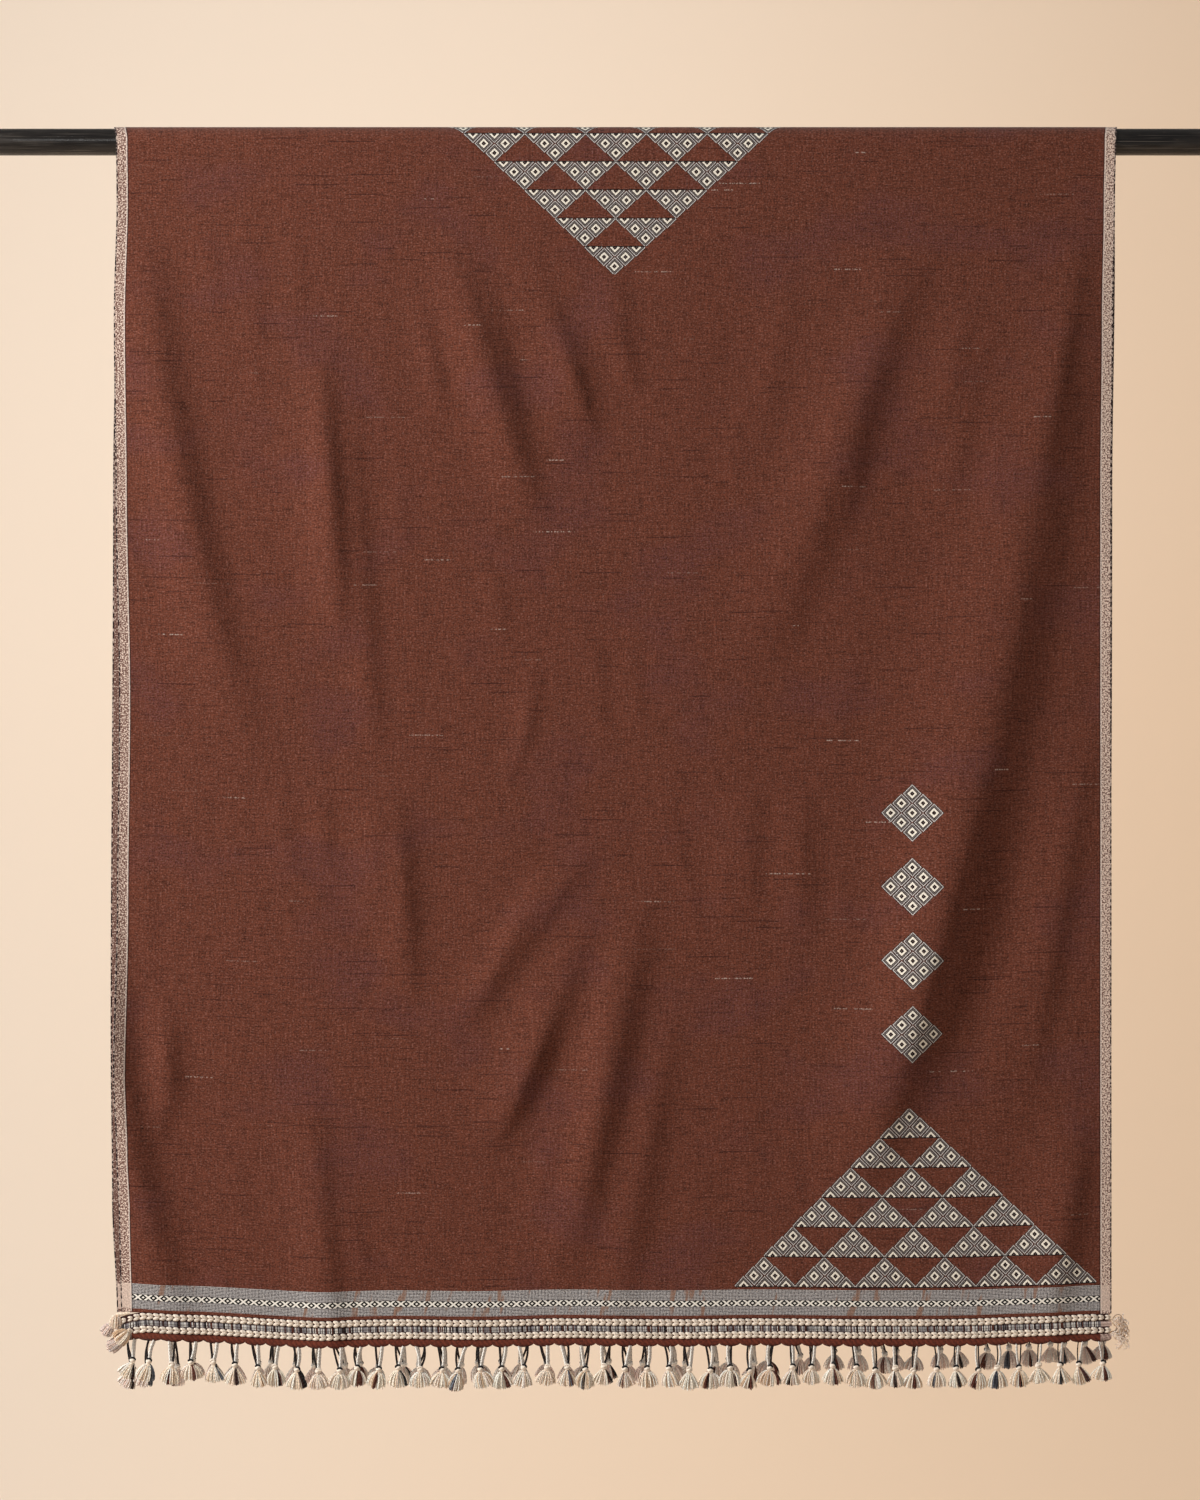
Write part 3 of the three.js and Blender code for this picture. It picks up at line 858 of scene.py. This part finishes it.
def worn_black_paint():
    """Black paint on a steel pipe, rubbed and scratched along its length."""
    recipe = Recipe("worn_black_paint", roughness=0.5, specular=0.4)
    x, y, z = recipe.place()
    scratch = recipe.noise(x * 9, y * 700, z * 700, detail=2, roughness=0.6).ramp(0.6, 0.7)
    rub = recipe.noise(x * 14, y * 90, z * 90, detail=4, roughness=0.6)
    dust = recipe.noise(x * 60, y * 160, z * 160, detail=3)
    colour = recipe.mix(rub.ramp(0.4, 0.75), (28, 25, 24), (52, 47, 43))
    colour = recipe.mix(scratch * 0.5, colour, (112, 104, 96))
    colour = recipe.mix(dust.ramp(0.62, 0.75) * 0.35, colour, (92, 78, 66))
    height = rub * 0.7 + scratch * -0.4
    return recipe.done(colour, height, distance=0.25 * MM, roughness=rub * 0.2 + 0.15)


def backdrop_paper():
    """Cream paper, painted darker and warmer towards the right and the bottom as painted shade."""
    recipe = Recipe("backdrop_paper", roughness=0.95, specular=0.1)
    x, y, z = recipe.place()
    mottle = recipe.noise(x * 0.57, y * 0.57, z * 0.57, detail=3)
    # Painted shade: the paper shifts to a darker, warmer cream towards the right and the bottom
    painted_shade_warmth = (x * 0.57 - z * 0.2 + mottle * 0.4).ramp(-0.8, 1.6)
    return recipe.done(recipe.mix(painted_shade_warmth, (248, 232, 215), (242, 215, 187)))


# Pieces of the shawl


def sheet_piece(name, points, flat, material, replaced):
    vertices, faces, places = shell(points, CLOTH_THICKNESS)
    uvs = flat.reshape(-1, 2)[places.ravel()]
    return add_piece(name, vertices.tolist(), faces.tolist(), material, replaced, uvs)


def hanging_rows(fall, u, count):
    """Rows of points from the rod's level to the hem, with their flat coordinates."""
    share = np.linspace(0, 1, count + 1)[:, None]
    points = fall_points(fall, u, share)
    along_warp = -fall.side * (QUARTER_TURN + share * FALL_LENGTH)
    return points, joined((u - 0.5) * FLAT_WIDTH, along_warp)


def make_cloth(material):
    columns, rows = FRONT_GRID
    u = np.linspace(0, 1, columns + 1)[None, :]
    angle = np.linspace(90, -90, OVER_ROD_ROWS + 1)[:-1, None]
    over = over_rod_points(u, angle)
    over_flat = joined((u - 0.5) * FLAT_WIDTH, -CLOTH_MIDDLE * np.radians(angle))
    down, down_flat = hanging_rows(FRONT, u, rows)
    front = sheet_piece(
        "cloth_front_and_over_rod",
        np.concatenate([over, down]),
        np.concatenate([over_flat, down_flat]),
        material,
        ("front_fall", "rod_fold"),
    )
    columns, rows = BACK_GRID
    u = np.linspace(0, 1, columns + 1)[None, :]
    back = sheet_piece("cloth_back", *hanging_rows(BACK, u, rows), material, ("back_fall",))
    return front, back


def braid_stitch(heap, middle, side, slope, size, colour):
    """One stitch of the chain: two fat yarn lobes that meet in a point on the right."""
    t = np.linspace(0, 1, 7)
    radii = np.array([0.8, 1.4, 1.72, 1.78, 1.65, 1.25, 0.55]) * MM * size
    for way in (1, -1):
        x = (-3.9 + 7.5 * t) * size
        z = way * 2.3 * (1 - t**1.3) * size
        y = side * (1.2 * np.sin(math.pi * t) - 1.0 * t)
        points = joined(x, y, z + slope * x) * MM + middle
        heap.tube(points, radii, 8, colour, flat=0.85)


def end_droop(u):
    """How far the twined rows sink at the left end of the hem."""
    return 7 * MM * np.clip(1 - np.asarray(u) / 0.028, 0, 1) ** 1.6


def make_braid(fall, which, drop, material):
    heap = Heap()
    rng = np.random.default_rng(40 + fall.side + int(drop / MM))
    for i in range(STITCHES_PER_ROW):
        u = (i + 0.5) / STITCHES_PER_ROW
        beside = np.array([u - 0.003, u, u + 0.003])
        near = under_hem(fall, beside, drop + BRAID_HEIGHT / 2 + end_droop(beside))
        slope = (near[2, 2] - near[0, 2]) / (near[2, 0] - near[0, 0])
        from_end = min(i, STITCHES_PER_ROW - 1 - i)
        size = rng.uniform(0.94, 1.05) * (0.78 if from_end < 2 else 1)
        shade = rng.uniform(0.9, 1.0)
        colour = tuple(c * shade for c in CREAM)
        braid_stitch(heap, near[1], fall.side, slope + rng.normal(0, 0.03), size, colour)
    node = f"{fall.name}_braid_{which}"
    return heap.piece(f"{fall.name}_chain_braid_{which}", material, "cream_yarn", (node,))


def make_rib_row(fall, material):
    """Upright wrapped yarns between the braids, in light runs and short dark ones.

    They lie over the brown warp, which runs on behind all the rows, painted dark brown as painted shade in
    the gaps between stitches. The last ones at the right are pale.
    """
    heap = Heap()
    rng = np.random.default_rng(60 + fall.side)
    u = np.linspace(0.003, 0.997, 220)
    core = under_hem(fall, u, SCALLOP_DROP / 2 + end_droop(u))
    # The warp behind the rows is real; its dark brown colour is painted shade for the gaps between stitches
    heap.tube(core, SCALLOP_DROP / 2 + 0.3 * MM, 8, DARK_BROWN, flat=0.05)
    radii = np.array([0.4, 0.58, 0.58, 0.4]) * MM
    pale_end = 0.989
    dark_run, run_left = True, 0
    for i in range(RIBS_PER_ROW):
        u = (i + 0.5) / RIBS_PER_ROW
        top = under_hem(fall, u, RIB_DROP + end_droop(u))
        foot = top - np.array([-0.4 * MM, 0, RIB_HEIGHT])
        path = [top, top * 0.75 + foot * 0.25, top * 0.25 + foot * 0.75, foot]
        if run_left == 0:
            dark_run = not dark_run
            run_left = rng.integers(1, 3) if dark_run else rng.integers(4, 11)
        run_left -= 1
        light = RIB_LIGHTS[rng.integers(len(RIB_LIGHTS))]
        dark = RIB_DARKS[rng.integers(len(RIB_DARKS))]
        colour = dark if dark_run or rng.random() < 0.1 else light
        if u > pale_end:
            colour = RIB_END
        heap.tube(path, radii, 6, colour, flat=1.8)
    return heap.piece(f"{fall.name}_wrapped_ribs", material, "rib_yarn", (f"{fall.name}_rib_row",))


def make_scalloped_edge(fall, material):
    """The brown rolled edge below the lower braid, with a scallop for each tassel."""
    steps = TASSELS_PER_END * 14
    u = np.linspace(0, 1, steps + 1)
    belly = np.abs(np.sin(math.pi * TASSELS_PER_END * u)) ** 0.6
    depth = CUSP_DEPTH + (BELLY_DEPTH - CUSP_DEPTH) * belly
    top = under_hem(fall, u, SCALLOP_DROP)
    turn = np.linspace(0, 2 * math.pi, 15)[:-1]
    half_thickness = 1.15 * MM
    height = -depth[:, None] / 2 * (1 - np.cos(turn)[None, :])
    out = np.sin(turn)[None, :] * half_thickness * (0.85 + 0.25 * np.cos(turn)[None, :] * -1)
    points = joined(top[:, :1], top[:, 1:2] + out, top[:, 2:] + height)
    sides = len(turn)
    number = np.arange(points.shape[0] * sides).reshape(-1, sides)
    after = np.roll(number, -1, axis=1)
    quads = np.stack([number[:-1], after[:-1], after[1:], number[1:]], -1).reshape(-1, 4)
    faces = quads.tolist() + [number[0, ::-1].tolist(), number[-1].tolist()]
    flat = joined((u[:, None] - 0.5) * FLAT_WIDTH, height).reshape(-1, 2)
    corners = np.concatenate([quads.ravel(), number[0, ::-1], number[-1]])
    vertices = points.reshape(-1, 3).tolist()
    name, node = f"{fall.name}_scalloped_edge", f"{fall.name}_fringe"
    return add_piece(name, vertices, faces, material, (node,), flat[corners])


def skirt(heap, rng, root, heading, size, threads, palette, sector=None, bulge=1.5):
    """Cut threads that fan out from a root and hang. size is its half width, length and half depth.

    heading turns it from straight down, positive to the right. sector gives a dark lock's middle and half
    width, as shares of the half width, and its two colours. bulge is 1 for straight sides, more for a dome.
    """
    radii = np.array([0.45, 0.52, 0.56, 0.56, 0.54, 0.42]) * MM
    half_width, length, half_depth = size
    t = np.linspace(0, 1, 6)
    swell = 1 - (1 - t) ** bulge
    cos, sin = math.cos(heading), math.sin(heading)
    for _ in range(threads):
        share = rng.uniform(-1, 1)
        front = rng.uniform(-1, 1) * math.sqrt(max(0.05, 1 - share * share))
        across = half_width * (share * swell + rng.normal(0, 0.05) * t * t) + rng.uniform(-0.9, 0.9) * MM
        down = length * (1 - 0.2 * share * share) * rng.uniform(0.93, 1.04) * t ** (0.55 + bulge * 0.45)
        out = half_depth * front * swell
        colour = palette[int(rng.choice(len(palette), p=THREAD_SHARES))]
        if sector is not None and abs(share - sector[0]) < sector[1]:
            colour = sector[2] if share < sector[0] + 0.05 else sector[3]
        path = joined(across * cos + down * sin, out, across * sin - down * cos)
        heap.tube(root + path, radii, 4, colour)


def tassel_head(heap, rng, centre, side, colour, wrap):
    """A round knotted head, with a turn of yarn over its top."""
    t = np.linspace(-1, 1, 7)
    path = centre + joined(0, 0, -2.9 * t) * MM
    heap.tube(path, np.sqrt(1.08 - t * t) * 3.0 * MM, 10, colour)
    lean = rng.uniform(-0.7, 0.7)
    turn = lean + np.linspace(-1.25, 1.25, 9)
    ring = joined(np.sin(turn) * 2.9, side * 1.7, np.cos(turn) * 2.5 + 0.4) * MM
    radii = np.array([0.4, 0.8, 1.0, 1.05, 1.1, 1.05, 1.0, 0.8, 0.4]) * MM
    heap.tube(centre + ring, radii, 6, wrap)


def tassel_stem(heap, rng, u, top, head):
    """A dark yarn and a thicker pale one from a scallop to its head, thinner towards the right."""
    t = np.linspace(0, 1, 7)[:, None]
    bow = rng.normal(0, 0.8) * MM
    apart = (rng.uniform(2.4, 4.4) if u < 0.6 else rng.uniform(0.9, 2.4)) * MM
    dark_left = rng.random() < 0.8
    thinner = 1.0 - 0.5 * max(0.0, (u - 0.6) / 0.4)
    for way in (-1, 1):
        dark = (way < 0) == dark_left
        radius = (0.62 if dark else 1.0) * thinner * MM
        start = top + np.array([way * apart, 0, 0])
        foot = head + np.array([way * 0.8 * MM, 0, 2.2 * MM])
        path = start + (foot - start) * t
        path[:, 0] += (bow + way * 0.3 * MM) * np.sin(math.pi * t[:, 0])
        for strand, colour in enumerate(STEM_DARKS if dark else STEM_LIGHTS):
            shift = np.array([(strand - 0.5) * 1.5 * radius, (strand - 0.5) * 0.7 * radius, 0])
            heap.tube(path + shift, radius, 6, colour)


def make_tassels(fall, material):
    """Tassels on two-yarn stems, one under each scallop.

    The back's hang behind the front's, longer at the left end, and come out beside them towards the right.
    """
    stems, fans = Heap(), Heap()
    rng = np.random.default_rng(80)
    sway = np.random.default_rng(81)
    at_front = fall is FRONT
    palette = FRONT_THREADS if at_front else BACK_THREADS
    for i in range(TASSELS_PER_END):
        u = (i + 0.5) / TASSELS_PER_END
        trailing = 0.0 if at_front else max(0.0, (u - 0.55) / 0.45)
        if not at_front:
            aligned = under_hem(FRONT, u, 0.0)[0] * 1.007 + 9 * trailing * MM
            left, right = x_at(fall, 0.0, -1.18), x_at(fall, 1.0, -1.18)
            u = min((aligned - left) / (right - left), 0.994)
        top = under_hem(fall, u, SCALLOP_DROP + BELLY_DEPTH - 1.2 * MM)
        lean = (rng.normal(0, 1.5) + (0 if at_front else sway.uniform(-5, 6))) * MM
        longer = 0 if at_front else 9 * max(0.0, 1 - i / 3)
        stem = (20 + rng.normal(0, 1.3) - 9 * trailing + longer) * MM
        head = top + np.array([lean, fall.side * rng.uniform(0, 1.2) * MM, -stem - 2.5 * MM])
        tassel_stem(stems, rng, u, top, head)
        wrap = BLACK if rng.random() < 0.75 else CREAM
        tassel_head(stems, rng, head, fall.side, CREAM if at_front else BACK_THREADS[0], wrap)
        locks = [LOCK_THREADS[place] for place in rng.integers(len(LOCK_THREADS), size=2)]
        sector = (rng.uniform(-0.4, 0.85), rng.uniform(0.12, 0.24), *locks) if rng.random() < 0.7 else None
        heading = rng.normal(0, 0.13) - 0.5 * max(0.0, 1 - i / 1.5)
        size = (rng.uniform(8.8, 12.0) * MM, rng.uniform(15.5, 19.0) * MM, 4.8 * MM)
        root = head - np.array([0, 0, 1.8 * MM])
        skirt(fans, rng, root, heading, size, 78, palette, sector, rng.uniform(1.1, 2.1))
    name = fall.name
    return (
        stems.piece(f"{name}_tassel_stems", material, "fringe_yarn"),
        fans.piece(f"{name}_tassel_threads", material, "fringe_yarn"),
    )


# Loose tassels where the braids end at the left, for each fall, with their threads. Each gives its root's
# place outwards, forwards and down from the hem's corner in millimetres, its heading in radians away from
# the cloth, then its half width, length and half depth in millimetres
LEFT_TASSELS = [
    (
        FRONT,
        FRONT_THREADS[1:] + FRONT_THREADS[-1:],
        [(4.5, 1, 4, 0.1, 5.5, 14, 4), (-7.5, 4, 20, 0.8, 8.5, 16, 5)],
    ),
    (
        BACK,
        BACK_THREADS[4:] * 3,
        [(5.5, 1, 12, 0.6, 5.5, 14, 4), (-5.5, 4, 28, 1.0, 6.5, 18, 5)],
    ),
]

# Frayed ends where the braids end at the right, for each fall: threads in one, and how much lower they hang
RIGHT_ENDS = [(FRONT, 48, 0), (BACK, 8, 11)]
FRAYED_THREADS = FRONT_THREADS[2:]


def make_left_tassels(material):
    for fall, palette, tassels in LEFT_TASSELS:
        heap = Heap()
        rng = np.random.default_rng(94 + fall.side * 2)
        corner = under_hem(fall, 0.0, 0.0)
        for outwards, forward, down, heading, half_width, length, half_depth in tassels:
            root = corner + np.array([-outwards, fall.side * forward, -down]) * MM
            start = corner + np.array([9, 0, 1.5 - down]) * MM
            t = np.linspace(0, 1, 4)[:, None]
            heap.tube(start + (root - start) * t, np.array([1.5, 1.8, 1.8, 1.3]) * MM, 8, palette[1])
            size = (half_width * MM, length * MM, half_depth * MM)
            skirt(heap, rng, root, -heading, size, 95, palette, bulge=2.2)
        name = fall.name
        heap.piece(f"{name}_left_loose_tassels", material, "fringe_yarn", (f"{name}_left_tassels",))


def frayed_end(heap, rng, root, threads):
    """Loose curly yarn ends that spread to the right from a root in an upright tangle."""
    t = np.linspace(0, 1, 15)
    radii = np.linspace(0.62, 0.4, 15) * MM
    for _ in range(threads):
        reach, rise = rng.uniform(7, 16), rng.uniform(-15, 5)
        curl, turns, phase = rng.uniform(1.5, 4.5), rng.uniform(0.5, 1.5), rng.uniform(0, 2 * math.pi)
        swirl = 2 * math.pi * turns * t + phase
        x = reach * np.sin(1.9 * t) + curl * t * np.sin(swirl)
        z = rise * t + curl * t * np.cos(swirl)
        points = joined(x, rng.uniform(-3, 3) * t, z) * MM
        colour = FRAYED_THREADS[rng.integers(len(FRAYED_THREADS))]
        heap.tube(root + points, radii, 5, colour, reference=(0.05, 1, 0.02))


def make_right_ends(material):
    for fall, threads, lower in RIGHT_ENDS:
        heap = Heap()
        rng = np.random.default_rng(105 + fall.side)
        corner = under_hem(fall, 1.0, 0.0)
        for down in (7, 20):
            root = corner + np.array([-1, fall.side * 0.8, -down - lower]) * MM
            frayed_end(heap, rng, root, threads)
        name = fall.name
        heap.piece(f"{name}_right_frayed_ends", material, "fringe_yarn", (f"{name}_right_tassels",))


def make_rod(material):
    """The pipe, closed at its ends, with its rims eased."""
    heap = Heap()
    half, ease = (rod_high.x - rod_low.x) / 2, 1.2 * MM
    between = np.linspace(-half + 0.05, half - 0.05, 9)
    stations = np.concatenate([[-half, -half + ease], between, [half - ease, half]])
    path = joined(stations, 0, 0)
    radii = np.full(len(stations), ROD_RADIUS)
    radii[[0, -1]] -= ease
    heap.tube(path, radii, 96, BLACK)
    return heap.piece("black_pipe", material, "black_pipe", ("rod",))


# Studio


def make_backdrop(material):
    """A wide sweep of paper: a floor that curves up into a wall behind the shawl."""
    floor_z, wall_top = -3.19, 6.3
    front_y, wall_y = -10.0, 6.6
    bend, half_width = 2.71, 11.0
    turn = np.linspace(0, math.pi / 2, 17)
    y = np.concatenate([[front_y], wall_y - bend + bend * np.sin(turn), [wall_y]])
    z = np.concatenate([[floor_z], floor_z + bend * (1 - np.cos(turn)), [wall_top]])
    vertices = [(x, *place) for place in zip(y, z) for x in (-half_width, half_width)]
    quads = [(i, i + 1, i + 3, i + 2) for i in range(0, len(vertices) - 2, 2)]
    backdrop = new_object("backdrop", smooth_mesh("backdrop", vertices, quads, material))


def area_light(name, place, target, size, power):
    light = bpy.data.lights.new(name, "AREA")
    light.shape = "RECTANGLE"
    light.size, light.size_y = size
    light.energy = power
    light.color = (1.0, 0.98, 0.95)
    lamp = new_object(name, light)
    lamp.location = place
    direction = Vector(target) - Vector(place)
    lamp.rotation_euler = direction.to_track_quat("-Z", "Y").to_euler()
    lamp.visible_camera = False


def make_lights():
    """Soft boxes at the left before and behind the cloth, one for the wall alone, and an even sky.

    A long strip glints on the rod, and a weak box lights the hem.
    """
    cloth_middle = (0, 0, -0.6)
    area_light("key_left", (-2.9, -1.5, 0.6), cloth_middle, (0.8, 1.4), 121)
    area_light("wall_light", (-0.7, 1.55, 0.85), (-0.6, 6.6, -0.6), (2.4, 2.4), 155)
    area_light("back_left", (-2.4, 2.0, -0.5), cloth_middle, (0.8, 1.4), 50)
    area_light("rod_strip", (-1.0, -3.2, 0.57), (-0.55, 0, 0), (0.6, 0.06), 5)
    area_light("hem_fill", (0.3, -3.2, -1.5), (0.3, 0, -1.22), (0.8, 0.3), 4.5)
    world = bpy.data.worlds.new("studio")
    world.use_nodes = True
    background = next(n for n in world.node_tree.nodes if n.type == "BACKGROUND")
    background.inputs["Color"].default_value = (1.0, 0.98, 0.96, 1)
    background.inputs["Strength"].default_value = 0.22
    bpy.context.scene.world = world


def make_camera():
    """Level, straight at the front, with about 1.5 m of height in view at the cloth."""
    distance, view_height, sensor = 4.0, 1.4987, 36.0
    middle_x, middle_z = -0.015, -0.6095
    data = bpy.data.cameras.new("camera")
    data.sensor_width = sensor
    data.lens = sensor * distance / view_height
    camera = new_object("camera", data)
    camera.location = (middle_x, -CLOTH_MIDDLE - distance, middle_z)
    camera.rotation_euler = (math.pi / 2, 0, 0)
    bpy.context.scene.camera = camera


make_camera()
wool, yarn, edging = wool_cloth(), plied_yarn(), corded_edge()
cloth_front, cloth_back = make_cloth(wool)
pipe = make_rod(worn_black_paint())
for fall in FALLS:
    make_braid(fall, "upper", UPPER_BRAID_DROP, yarn)
    make_rib_row(fall, yarn)
    make_braid(fall, "lower", LOWER_BRAID_DROP, yarn)
    make_scalloped_edge(fall, edging)
    make_tassels(fall, yarn)
make_left_tassels(yarn)
make_right_ends(yarn)

make_backdrop(backdrop_paper())
make_lights()
bpy.context.scene.view_settings.view_transform = "Standard"
